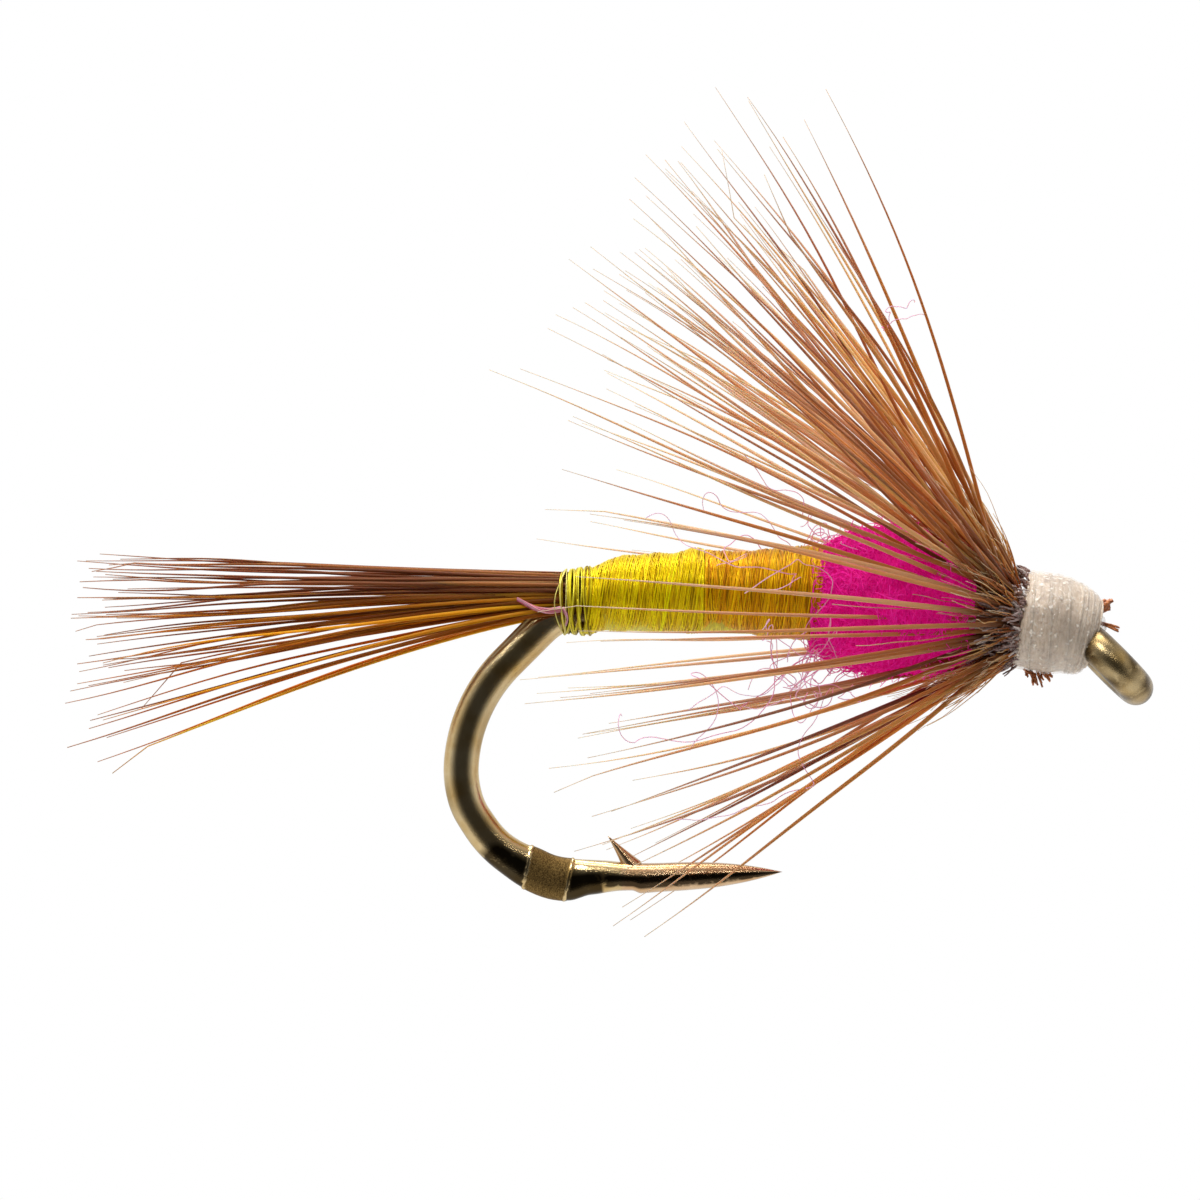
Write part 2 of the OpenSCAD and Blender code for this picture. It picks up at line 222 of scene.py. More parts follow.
def skin(rings):
    """Points and faces of a closed skin through M rings of K points each: M x K x 3."""
    steps, sides, _ = rings.shape
    ends = [list(range(sides))[::-1], list(range((steps - 1) * sides, steps * sides))]
    return rings.reshape(-1, 3), quads(steps, sides).tolist() + ends


# ------ materials
class Shader:
    """A Principled material that is built up node by node."""

    def __init__(self, name, **values):
        self.material = bpy.data.materials.new(name)
        self.material.use_nodes = True
        self.tree = self.material.node_tree
        self.principled = self.tree.nodes["Principled BSDF"]
        for key, value in values.items():
            self.put(self.principled.inputs[key.replace("_", " ")], value)

    def put(self, socket, value):
        """Sets a socket to a number, a vector or a colour, or links another socket to it."""
        if isinstance(value, bpy.types.NodeSocket):
            self.tree.links.new(value, socket)
        elif socket.type == "RGBA":
            socket.default_value = (*value, 1)
        else:
            socket.default_value = value

    def add(self, kind, inputs=(), **settings):
        node = self.tree.nodes.new("ShaderNode" + kind)
        for key, value in settings.items():
            setattr(node, key, value)
        for key, value in dict(inputs).items():
            self.put(node.inputs[key], value)
        return node

    def link(self, output, name):
        self.tree.links.new(output, self.principled.inputs[name])

    def where(self, stretch=(1, 1, 1)):
        """The object's own coordinates in millimetres, stretched along the axes."""
        coords = self.add("TexCoord").outputs["Object"]
        scale = tuple(s / MM for s in stretch)
        return self.add("Mapping", {"Vector": coords, "Scale": scale}).outputs["Vector"]

    def noise(self, scale, stretch=(1, 1, 1), detail=3.0):
        """Noise with scale features to the millimetre."""
        return self.add("TexNoise", {"Vector": self.where(stretch), "Scale": scale,
                                     "Detail": detail}).outputs["Fac"]

    def band(self, value, low, high, to_low=0.0, to_high=1.0):
        return self.add("MapRange", {"Value": value, "From Min": low, "From Max": high,
                                     "To Min": to_low, "To Max": to_high}).outputs["Result"]

    def blend(self, factor, a, b):
        """A colour mix; a and b are sockets or colours."""
        return self.add("Mix", {0: factor, 6: a, 7: b}, data_type="RGBA").outputs[2]

    def mottle(self, value, low, high, dark, light):
        """A base colour from dark to light as value goes from low to high."""
        self.link(self.blend(self.band(value, low, high), colour(dark), colour(light)), "Base Color")

    def paint(self):
        return self.add("Attribute", attribute_name="paint").outputs["Color"]

    def bump(self, height, depth):
        """Bump whose full height is depth millimetres."""
        node = self.add("Bump", {"Height": height, "Strength": 1.0, "Distance": depth * MM})
        self.link(node.outputs["Normal"], "Normal")


def fibre_material(name, shade=0.25, roughness=0.35, grain=40, glow=0.5, **values):
    """Painted fibres with darker streaks, which let some of the light behind them through."""
    m = Shader(name, Roughness=roughness, Subsurface_Weight=glow, Subsurface_Scale=0.15 * MM,
               Subsurface_Radius=(1.0, 0.5, 0.25), **values)
    streak = m.band(m.noise(grain), 0.3, 0.7)
    m.link(m.blend(m.band(streak, 0, 1, 0, shade), m.paint(), (0.02, 0.01, 0.005)), "Base Color")
    m.link(m.band(streak, 0, 1, roughness - 0.1, roughness + 0.12), "Roughness")
    return m.material


# ------ camera, floor and light
# The lens looks level along +Y with the shank sloping down a little to the right.
ROLL = math.radians(-1.4)
AIM = np.array([-10.01, 0.0, 1.0])
VIEW_WIDTH = 23.4
LENS, SENSOR = 180.0, 36.0


def make_camera():
    data = bpy.data.cameras.new("camera")
    data.lens, data.sensor_width = LENS, SENSOR
    distance = VIEW_WIDTH * LENS / SENSOR
    data.clip_start, data.clip_end = 0.001, 10.0
    camera = bpy.data.objects.new("camera", data)
    camera.location = (AIM - distance * Y) * MM
    camera.rotation_euler = (math.radians(90), ROLL, 0)
    bpy.context.scene.collection.objects.link(camera)
    bpy.context.scene.camera = camera


def area_light(name, place, size, power):
    """A square light, placed in millimetres, that faces the fly."""
    data = bpy.data.lights.new(name, "AREA")
    data.size, data.energy = size * MM, power
    light = bpy.data.objects.new(name, data)
    light.location = Vector(place) * MM
    light.rotation_euler = (Vector(AIM * MM) - light.location).to_track_quat("-Z", "Y").to_euler()
    bpy.context.scene.collection.objects.link(light)


def make_world():
    """A white tent that is open, and so dark, on the side that the photograph is taken from.
    Gloss sees less of the opening. What is seen past the fly is plain pale."""
    world = bpy.data.worlds.new("tent")
    bpy.context.scene.world = world
    world.use_nodes = True
    tree = world.node_tree
    tree.nodes.clear()
    new, link = tree.nodes.new, tree.links.new
    coords, split, soft, gloss, side, shell, pale, seen, path, out = (
        new("ShaderNode" + kind) for kind in
        ("TexCoord", "SeparateXYZ", "MapRange", "MapRange", "Mix", "Background", "Background",
         "MixShader", "LightPath", "OutputWorld"))
    link(coords.outputs["Generated"], split.inputs[0])
    for ramped, dark_end, light_end in ((soft, -0.6, 0.15), (gloss, -0.9, -0.42)):
        link(split.outputs["Y"], ramped.inputs["Value"])
        for name, value in (("From Min", dark_end), ("From Max", light_end), ("To Min", 0.05)):
            ramped.inputs[name].default_value = value
    link(path.outputs["Is Glossy Ray"], side.inputs["Factor"])
    link(soft.outputs["Result"], side.inputs["A"])
    link(gloss.outputs["Result"], side.inputs["B"])
    link(side.outputs["Result"], shell.inputs["Strength"])
    for output, socket in zip((path.outputs["Is Camera Ray"], shell.outputs[0], pale.outputs[0]),
                              seen.inputs):
        link(output, socket)
    link(seen.outputs[0], out.inputs[0])
    for node in (shell, pale):
        node.inputs["Color"].default_value = (1, 1, 1, 1)


def make_floor():
    """A wide floor below the fly. It ends where the photograph's view would begin to see it."""
    reach, front, back, depth = 400.0, -80.0, 480.0, -70.0
    points = np.array([(-reach, front, depth), (reach, front, depth), (reach, back, depth),
                       (-reach, back, depth)])
    floor = new_piece("floor", points, [[0, 1, 2, 3]])
    m = Shader("pale_floor", Roughness=0.9)
    m.link(m.blend(m.noise(0.02), (0.84, 0.84, 0.84), (0.87, 0.87, 0.87)), "Base Color")
    floor.data.materials.append(m.material)


# ------ hook
WIRE, POINT = 0.69, 0.56
GAPE, SHOULDER_R, LEAN, HEEL_R, THROAT_R = 5.28, 1.17, 46.4, 3.08, 2.12
SPEAR_RISE, SPEAR_LENGTH, NEEDLE = 4.0, 4.05, 2.4
EYE_R, EYE_WIRE, EYE_DROP, NECK_R = 0.66, 0.68, 44.0, 0.45
TURN_IN = 90 + LEAN
# Distances along the wire from the rearmost point of the bend, the wire's height there, and how
# far forging has pushed it outwards. The spear starts after 94 degrees of the throat.
THROAT = THROAT_R * math.radians(90 + SPEAR_RISE)
FORGING = np.array([(0.0, WIRE, 0.0), (0.74, WIRE, 0.03), (1.11, WIRE, 0.08), (1.70, 0.70, 0.10),
                    (2.15, 0.74, 0.12), (2.59, 0.84, 0.11), (3.03, 0.84, 0.05), (THROAT, 0.82, 0.03),
                    (THROAT + 0.18, 0.70, 0.07), (THROAT + 0.7, 0.64, 0.05), (THROAT + 1.1, 0.61, 0.0),
                    (THROAT + SPEAR_LENGTH - NEEDLE, POINT, 0.0)])


# The dull scuffed band: where its middle crosses the spear's height, its lean, its half width and
# where its raised edge runs.
BAND_X, BAND_LEAN, BAND_HALF, BAND_EDGE = -10.92, 0.195, 0.45, 0.43


def arc(centre, r, start, end, gap):
    steps = max(2, int(abs(math.radians(end - start)) * r / gap))
    return [centre + r * heading(mix(start, end, i / steps)) for i in range(steps)]


def straight(a, b, gap):
    steps = max(2, int(np.linalg.norm(b - a) / gap))
    return [mix(a, b, i / steps) for i in range(steps)]


SHANK_END = span("thread_base", 0)[0] - 0.1
SHOULDER = np.array([SHANK_END, 0, SHANK_Z - SHOULDER_R])
RUN_TOP = SHOULDER + SHOULDER_R * heading(TURN_IN)
RUN = (GAPE - SHOULDER_R - THROAT_R + (SHOULDER_R - HEEL_R) * math.sin(math.radians(TURN_IN))) \
    / math.sin(math.radians(LEAN))
RUN_FOOT = RUN_TOP - RUN * heading(LEAN)
HEEL = RUN_FOOT - HEEL_R * heading(TURN_IN)
THROAT_MID = HEEL + (THROAT_R - HEEL_R) * X
SPEAR = THROAT_MID + THROAT_R * heading(270 + SPEAR_RISE)
FORWARD, UPWARD = heading(SPEAR_RISE), heading(90 + SPEAR_RISE)


def hook_line(gap):
    """The wire's middle from the eye to the point, and its length where the throat begins."""
    drop = math.radians(EYE_DROP)
    neck_x = -SHANK_Z / math.sin(drop) * math.cos(drop) - NECK_R * math.tan(drop / 2)
    neck = np.array([neck_x, 0, SHANK_Z - NECK_R])
    ring_top = -EYE_R * heading(-EYE_DROP)
    path = straight(ring_top, neck + NECK_R * heading(90 - EYE_DROP), gap)
    path += arc(neck, NECK_R, 90 - EYE_DROP, 90, gap)
    path += straight(neck + NECK_R * Z, SHOULDER + SHOULDER_R * Z, 3 * gap)
    path += arc(SHOULDER, SHOULDER_R, 90, TURN_IN, gap) + straight(RUN_TOP, RUN_FOOT, gap)
    path += arc(HEEL, HEEL_R, TURN_IN, 180, gap)
    first = len(path)
    tip = SPEAR + SPEAR_LENGTH * FORWARD
    path += arc(THROAT_MID, THROAT_R, 180, 270 + SPEAR_RISE, gap) + straight(SPEAR, tip, gap)
    return np.array([*path, tip]), first


def hook_wire():
    """The wire: round along the shank, forged flat-sided round the bend, ground to a point."""
    path, first = hook_line(0.028)
    along = unit(np.gradient(path, axis=0))
    out = np.cross(along, Y)
    length = np.concatenate([[0], np.cumsum(np.linalg.norm(np.diff(path, axis=0), axis=1))])
    s = length - length[first]
    to_tip = length[-1] - length
    bent = ramp(-6.6, -5.4, s)
    around = s[:, None] + np.linspace(-0.15, 0.15, 9)
    height = np.interp(around, FORGING[:, 0], FORGING[:, 1]).mean(1)
    push = np.interp(around, FORGING[:, 0], FORGING[:, 2]).mean(1) * (s > -0.2)
    height = mix(2 * SHANK_R, height, bent)
    t = np.clip(1 - to_tip / NEEDLE, 0, 1)
    needle = np.maximum(1 - t ** 2.5, 0.012)
    tall = height / 2 * needle
    forged = bent * ramp(NEEDLE - 0.3, NEEDLE + 1.2, to_tip)
    wide = mix(tall, SHANK_R ** 2 / (height / 2), forged)
    path = path + push[:, None] * out
    power = mix(1.0, 0.93, forged)[:, None]
    angle = full_turn(44)
    c, d = np.cos(angle)[None], np.sin(angle)[None]
    high = tall[:, None] * np.sign(c) * np.abs(c) ** power
    across = wide[:, None] * np.sign(d) * np.abs(d) ** power
    # the barb was sliced up out of the wire, which leaves a shallow step behind it
    cut = 0.07 * ramp(THROAT + 0.3, THROAT + 1.05, s) * (1 - ramp(THROAT + 1.1, THROAT + 1.3, s))
    high += cut[:, None] * np.maximum(-c, 0) ** 0.5
    offset = high[..., None] * out[:, None] + across[..., None] * Y
    rings = path[:, None] + offset
    off = np.abs(rings[..., 0] - BAND_X - BAND_LEAN * (rings[..., 2] - SPEAR[2]))
    low = (s > 1.5)[:, None]
    band, edge = (off < BAND_HALF) & low, (np.abs(off - BAND_EDGE) < 0.03) & low
    rings = rings + (0.012 * band + 0.014 * edge)[..., None] * unit(offset)
    return skin(rings), hook_paint(s, c, band, edge)


def hook_paint(s, c, band, edge):
    """Red in the scuffed band, green towards the point and blue for a painted dark reflection: all
    the outer side of the throat, and one streak along the spear."""
    throat = (ramp(1.3, 1.9, s) * (1 - ramp(THROAT + 0.45, THROAT + 0.65, s)))[:, None]
    spear = ramp(THROAT + 0.4, THROAT + 0.7, s)[:, None]
    # painted dark reflection: the throat's outer side and a streak along the spear darken by which way the
    # wire's surface faces
    dark = np.maximum(throat * ramp(-0.6, 0.1, -c),
                      spear * ramp(-0.35, 0, -c) * (1 - ramp(0.45, 0.9, -c)))
    point = np.broadcast_to((s > THROAT + 0.9)[:, None], band.shape)
    return np.stack([band & ~edge, point, dark * ~band], -1).reshape(-1, 3)


def hook_barb():
    """The sliver raised out of the spear: a blade that narrows to a fine tip."""
    root, bow, tip = (SPEAR + a * FORWARD + b * UPWARD
                      for a, b in ((1.16, 0.2), (0.98, 0.46), (0.69, 0.85)))
    t = np.linspace(0, 1, 24)[:, None]
    path = (1 - t) ** 2 * root + 2 * t * (1 - t) * bow + t * t * tip
    along = unit(np.gradient(path, axis=0))
    out = np.cross(along, Y)
    angle = full_turn(20)
    thick = (0.2 * (1 - t) + 0.006)[..., None]
    wide = (0.16 * (1 - t) ** 0.85 + 0.006)[..., None]
    rings = path[:, None] + thick * np.cos(angle)[None, :, None] * out[:, None]
    rings = rings + wide * np.sin(angle)[None, :, None] * Y
    return skin(rings)


def hook_eye():
    """The wire's end bent round into a ring, which closes against the neck."""
    turns, sides = 160, 36
    down = heading(-EYE_DROP)
    axis = np.cross(down, Y)
    ring, tube = full_turn(turns), full_turn(sides)
    radial = np.cos(ring)[:, None] * down + np.sin(ring)[:, None] * Y
    # the seam: a fine groove a little to one side of the neck
    seam = 1 - 0.16 * np.exp(-((ring - np.pi * 1.16) / 0.035) ** 2)
    r = (EYE_WIRE / 2 * seam)[:, None, None]
    points = (EYE_R * radial[:, None] + r * np.cos(tube)[None, :, None] * radial[:, None]
              + r * np.sin(tube)[None, :, None] * axis)
    faces = quads(turns + 1, sides)[:, ::-1] % (turns * sides)
    return points.reshape(-1, 3), np.roll(faces, 1, axis=1).tolist()


def bronze():
    """Bronzed steel. paint is red where the vise scuffed it, green towards the point and blue for a
    painted dark reflection on the throat and spear, and a mottled darkening on the eye."""
    m = Shader("bronzed_wire", Metallic=1.0)
    split = m.add("SeparateColor", {"Color": m.paint()}).outputs
    scuff, point = split["Red"], split["Green"]
    broad, fine = m.noise(1.8), m.noise(60, detail=6)
    plain = m.blend(m.band(broad, 0.35, 0.7), colour("cbb68c"), colour("b39257"))
    plain = m.blend(m.band(point, 0, 1, 0, 0.35), plain, colour("c79a86"))
    worn = m.blend(m.band(fine, 0.4, 0.65), colour("44331a"), colour("957846"))
    # the blue paint, broken up by noise, takes the metal towards near-black: painted dark reflection on the
    # throat and spear, a mottled darkening on the eye
    dark_reflection_and_mottle = m.blend(m.band(m.noise(7, detail=8), 0.35, 0.65, 0.7, 1.5), (0, 0, 0), m.paint())
    dark_reflection_and_mottle = m.add("SeparateColor", {"Color": dark_reflection_and_mottle}).outputs["Blue"]
    plain = m.blend(m.band(dark_reflection_and_mottle, 0.3, 0.75, 0, 0.93), plain, colour("1c140a"))
    m.link(m.blend(scuff, plain, worn), "Base Color")
    dull = m.band(fine, 0.35, 0.65, 0.07, 0.15)
    m.link(m.add("Mix", {"Factor": scuff, "A": dull, "B": 0.5}).outputs[0], "Roughness")
    m.bump(fine, 0.003)
    return m.material


def make_hook():
    wire, paint = hook_wire()
    barb, eye = hook_barb(), hook_eye()
    points, faces = joined([wire, barb, eye])
    pale, mottled = np.zeros_like(barb[0]), np.zeros_like(eye[0])
    pale[:, 1] = 1
    x, y, z = eye[0].T
    mottled[:, 0] = 0.4
    mottled[:, 2] = 0.5 + 0.3 * np.sin(7 * x + 5 * y) * np.sin(6 * z - 4 * y + 1)
    piece = new_piece("hook_forged_wire", points, faces, np.concatenate([paint, pale, mottled]))
    install(piece, bronze(), "bronzed_wire", "hook")


# ------ feather barbs
def tinted(rng, stops, count, steps, root, tip, streak=0.12, fade=0.55):
    """Colours along each barb: dark root, its own tone in the middle, pale tip."""
    own = pick(rng, stops, count) * rng.uniform(0.8, 1.2, (count, 1))
    t = run(steps)[..., None]
    paint = mix(colour(root), own[:, None], ramp(0.0, 0.22, t))
    paint = mix(paint, colour(tip), 0.8 * ramp(fade, 1.0, t))
    return np.clip(paint * (1 + streak * wander(rng, count, steps)[..., None]), 0, 1)


def barb_radii(steps, count, root, rng, tip=0.007, taper=0.72):
    """Nearly even for two thirds of its length, then tapering to a hair."""
    t = run(steps)
    own = root * rng.uniform(0.8, 1.15, (count, 1))
    return np.maximum(own * (1 - 0.25 * t - taper * t ** 3.2), tip)


def kink(rng, paths, share, size):
    """Bends the last part of some paths sharply aside, as broken tips are."""
    count, steps, _ = paths.shape
    picked = rng.random(count) < share
    at = rng.integers(int(steps * 0.86), steps - 1, count)
    turn = rng.normal(0, 1, (count, 3)) * size
    for i in np.flatnonzero(picked):
        tail = paths[i, at[i]:]
        reach = np.linalg.norm(tail - tail[:1], axis=1, keepdims=True)
        paths[i, at[i]:] = tail[:1] + unit((tail - tail[:1]) + reach * turn[i] + 1e-9) * reach
    return paths


TAIL_TIERS = {  # node: barbs, lowest and highest start, drop at the tip, tones
    "tail_barbs_upper": (20, 0.42, 0.98, (-0.25, 0.55), ("7a4626", "88502a", "6a381a", "945c2c")),
    "tail_barbs_middle": (20, 0.12, 0.5, (0.5, 1.7), ("864a0c", "9e5a10", "6e3a08", "b27014")),
    "tail_barbs_lower": (15, -0.12, 0.2, (1.3, 3.1), ("b86a08", "da9210", "8e4e08", "f0b830")),
}


def make_tail():
    """A bundle tied along the shank that spreads to a fan behind the body."""
    shine = fibre_material("tail_barbs", 0.25, 0.48, 60, Specular_IOR_Level=0.08)
    steps = 26
    lengths = -span("tail_barbs_upper", 0)[0] + BODY_REAR
    for seed, (node, (count, low, high, drops, tones)) in enumerate(TAIL_TIERS.items()):
        rng = np.random.default_rng(100 + seed)
        order = (np.arange(count) + rng.uniform(0.2, 0.8, count)) / count
        up = mix(low, high, order) * 0.72 + 0.02
        room = np.sqrt(np.maximum(0.5 ** 2 - (up - 0.19) ** 2, 0.01))
        side = np.where(rng.random(count) < 0.5, -1, 1) * np.sqrt(rng.random(count)) * room
        side = np.where(np.hypot(side, up) < SHANK_R + 0.06, np.sign(side) * (SHANK_R + 0.07), side)
        reach = lengths * rng.uniform(0.86, 0.985, count)
        drop = mix(drops[1], drops[0], order) + rng.normal(0, 0.12, count)
        spread = rng.uniform(-1.1, 2.6, count) * side + rng.normal(0, 0.25, count)
        inside = np.linspace(BODY_REAR + 1.2, BODY_REAR, 4)[:-1]
        t = np.concatenate([np.zeros(3), np.linspace(0, 1, steps - 3)])
        x = np.append(inside, np.full(steps - 3, BODY_REAR))
        path = np.zeros((count, steps, 3))
        path[..., 0] = x - reach[:, None] * t
        path[..., 1] = side[:, None] + spread[:, None] * t ** 1.5
        path[..., 2] = SHANK_Z + up[:, None] - drop[:, None] * t ** 1.25
        loose = ramp(0.05, 1.0, t)[None, :, None]
        path += loose * 0.11 * np.stack([0 * wander(rng, count, steps), wander(rng, count, steps, 2),
                                         wander(rng, count, steps, 2)], -1)
        path = kink(rng, path, 0.12, 0.3)
        paint = tinted(rng, tones, count, steps, "4a2a16", "9a8070", 0.18, 0.8)
        radii = barb_radii(steps, count, 0.05, rng, 0.011, 0.5)
        piece = fibre_piece(node + "_fine", path, radii, paint, 7, 0.62, 1.5)
        install(piece, shine, "golden_barb" if "lower" in node else "tail_barb", node)


# ------ floss
# Along the body from rear to front: place, radius, and how far its middle is above the shank.
BODY_SHAPE = np.array([(0.0, 0.60, 0.15), (0.10, 0.64, 0.20), (0.16, 0.69, 0.33), (0.22, 0.73, 0.37),
                       (0.40, 0.77, 0.40), (0.48, 0.83, 0.46), (0.545, 0.79, 0.46), (0.62, 0.77, 0.44),
                       (0.74, 0.84, 0.45), (0.86, 0.90, 0.45), (1.0, 0.93, 0.44)])


def body_surface(x, angle):
    """Distance from the body's own axis, and that axis's height, at a place along the body."""
    t = (x - BODY_REAR) / (THORAX_REAR + 0.25 - BODY_REAR)
    r = np.interp(t, BODY_SHAPE[:, 0], BODY_SHAPE[:, 1])
    lumps = 0.012 * np.sin(9 * x + 2 * angle) + 0.010 * np.sin(4.1 * x - 3 * angle + 1)
    return r + lumps, SHANK_Z + np.interp(t, BODY_SHAPE[:, 0], BODY_SHAPE[:, 2])


def body_path(x, angle, lift):
    r, z = body_surface(x, angle)
    return round_axis(x, r + lift, angle, z)


def floss_base(name, rear, front, tone):
    rings = body_path(*grid(rear, front, 90, 96), -0.02)
    rings[0] = mix(rings[0].mean(0), rings[0], 0.9)
    points, faces = skin(rings)
    return new_piece(name, points, faces, np.broadcast_to(colour(tone), (len(points), 3)))


def floss_strand(seed, rear, front, count, pitch, lift, stops, r, slope=1):
    """Filaments that run side by side round the body, as flat floss lies when it is wound."""
    rng = np.random.default_rng(seed)
    turns = (front - rear) / pitch
    steps = int(60 * turns)
    t = run(steps)
    start = rng.uniform(0, 1, (count, 1)) * pitch
    angle = slope * 2 * np.pi * (turns * t + rng.uniform(0, 1, (count, 1)))
    x = rear - pitch / 2 + start + (front - rear) * t + 0.035 * wander(rng, count, steps, 9)
    x = np.clip(x, rear + rng.uniform(0, 0.05, (count, 1)), front - rng.uniform(0, 0.05, (count, 1)))
    own = lift + rng.uniform(-0.006, 0.006, (count, 1)) + 0.005 * wander(rng, count, steps, 7)
    path = body_path(x, angle, own)
    paint = pick(rng, stops, count)[:, None] * (1 + 0.16 * wander(rng, count, steps, 6)[..., None])
    return path, np.full((count, steps), r), np.clip(paint, 0, 1)


def silk(name):
    m = Shader(name, Roughness=0.36, Metallic=0.4, Specular_IOR_Level=0.15)
    tone = m.band(m.noise(14, (6, 1, 1)), 0.3, 0.7)
    m.link(m.blend(m.band(tone, 0, 1, 0.0, 0.32), m.paint(), (0.26, 0.14, 0.0)), "Base Color")
    m.bump(m.noise(60, (1.5, 0.3, 0.3)), 0.004)
    return m.material


def make_floss():
    silky = silk("yellow_floss")
    yellow = ("f6dc00", "ecca00", "fce800", "dcb400", "f2d400")
    golden = ("eab400", "da9a00", "eeac00", "ca8400", "f4c600")
    # the last colour of each half is the floss lying beneath the filaments: its yellow is real, its darker
    # value is painted shade in the gaps between them
    halves = (("abdomen_floss_rear", "yellow_floss", BODY_REAR + 0.42, BODY_MIDDLE, yellow, "c0a000"),
              ("abdomen_floss_front", "golden_floss", BODY_MIDDLE + 0.02, THORAX_REAR + 0.2, golden,
               "b88a00"))
    for seed, (node, slot, rear, front, tones, under) in enumerate(halves):
        install(floss_base(node + "_under", rear, front, under), silky, slot, node)
        first = floss_strand(200 + seed, rear, front, 28, 0.52, -0.016, tones, 0.017)
        second = floss_strand(210 + seed, rear, front, 26, 0.66, -0.004, tones, 0.014, -1)
        for label, strand in (("inner", first), ("outer", second)):
            install(fibre_piece(f"{node}_{label}", *strand, sides=4), silky, slot)


def make_tie_in():
    """The first turns of floss, thin enough to show the tail between them."""
    rng = np.random.default_rng(230)
    count, steps = 74, 80
    angle = 2 * np.pi * run(steps) + rng.uniform(0, 6, (count, 1))
    group = rng.integers(0, 7, count)
    place = BODY_REAR + 0.02 + 0.075 * group[:, None] + rng.uniform(0, 0.045, (count, 1))
    lean = np.where(group % 2, 0.1, -0.09)[:, None]
    x = place + lean * np.sin(angle + 0.6) + 0.012 * wander(rng, count, steps, 4)
    path = body_path(x, angle, 0.01 + rng.uniform(-0.02, 0.02, (count, 1)))
    paint = pick(rng, ("dccc10", "b8a408", "f4e840", "947e08"), count)[:, None] + np.zeros((1, steps, 1))
    piece = fibre_piece("floss_tie_in_turns", path, np.full((count, steps), 0.016), paint, 4)
    silky = silk("floss_tie_in")
    install(piece, silky, "yellow_floss", "floss_tie_in")
    # two filaments stand off the rear in open loops
    loop = np.linspace(0, 2 * np.pi, steps)[None] + np.zeros((3, 1))
    bulge = np.array([[0.22], [0.12], [0.2]])
    face = np.array([[1.6], [1.2], [4.6]])
    x = BODY_REAR + 0.05 - bulge * np.exp(-((loop - face) / 0.9) ** 2)
    path = body_path(x, loop, 0.05 + 0.02 * wander(rng, 3, steps))
    paint = np.broadcast_to(colour("e6dc7a"), (3, steps, 3))
    piece = fibre_piece("floss_loose_loops", path, np.full((3, steps), 0.011), paint, 5)
    install(piece, silky, "yellow_floss", "floss_stray_loops")


# ------ dubbing
THORAX_Z = middle("thorax_dubbing", 2)
THORAX_R = radius_of("thorax_dubbing")
THORAX_LONG = THORAX_FRONT - THORAX_REAR
FUR_LAYERS = ((300, 4200, 0.014), (301, 4200, 0.010))  # seed, fibres, radius
STRAYS = (  # how many, where they leave the fur (t, angle in degrees), drift, step, bend
    (9, (0.0, 0.35), (130, 190), (-1.6, 0.0, -0.42), 0.105, 0.07),
    (12, (0.0, 0.35), (130, 205), (-1.0, 0.0, -0.35), 0.075, 0.1),
    (7, (0.0, 0.4), (150, 210), (-0.6, 0.0, -0.6), 0.05, 0.16),
    (9, (0.0, 0.3), (-40, 25), (-1.7, 0.0, 0.42), 0.08, 0.08),
    (6, (0.0, 0.3), (230, 300), (-1.0, 0.45, 0.1), 0.06, 0.16))
DRIFTED = np.array([(-4.65, -0.8, 6.35), (-4.6, -0.8, 6.4)])
TWIST_ROUTE = np.array([(-11.62, -0.42, 0.98), (-11.25, -0.55, 0.80), (-11.0, -0.58, 0.76),
                        (-10.72, -0.64, 0.83), (-10.62, -0.66, 0.62), (-10.66, -0.6, 0.5)])


def thorax_surface(t, angle, lift=0.0):
    """Points on the ball of fur: t runs from its rear to its front."""
    swell = np.sin(np.pi * np.clip(t, 0, 1) ** 0.85) ** 0.7
    r = mix(0.90, 0.95, t) + (THORAX_R - 0.92) * swell
    r = r * (1 + 0.03 * np.sin(3 * angle + 5 * t) + 0.025 * np.sin(7 * angle - 9 * t)) + lift
    x = THORAX_REAR - 0.05 + THORAX_LONG * t
    return round_axis(x, r, angle, THORAX_Z)


def fur_colours(rng, count, steps, tones, tip, pale):
    own = pick(rng, tones, count)
    t = run(steps)[..., None]
    return mix(own[:, None], colour(tip), pale * t)


def make_thorax():
    t, angle = grid(0, 1, 60, 96)
    # Emission here is a painted glow, which lifts the magenta above the light and shade that fall on it
    m = Shader("magenta_under_fur", Roughness=0.85, Emission_Color=colour("ff0aa4"),
               Emission_Strength=0.14)
    m.mottle(m.noise(12), 0.3, 0.7, "b8086c", "ee0c9c")
    m.bump(m.noise(30, detail=8), 0.05)
    core = new_piece("thorax_under_fur", *skin(thorax_surface(t, angle, -0.09)))
    install(core, m.material, "magenta_dubbing", "thorax_dubbing")

    # the same painted glow on the fibres
    fur = fibre_material("magenta_fur", 0.05, 0.7, 30, glow=0, Specular_IOR_Level=0.12,
                         Emission_Color=colour("ff0aa4"), Emission_Strength=0.14)
    for layer, (seed, count, r) in enumerate(FUR_LAYERS, 1):
        piece = fur_layer(f"thorax_fur_{layer}", np.random.default_rng(seed), count, r)
        install(piece, fur, "magenta_dubbing")


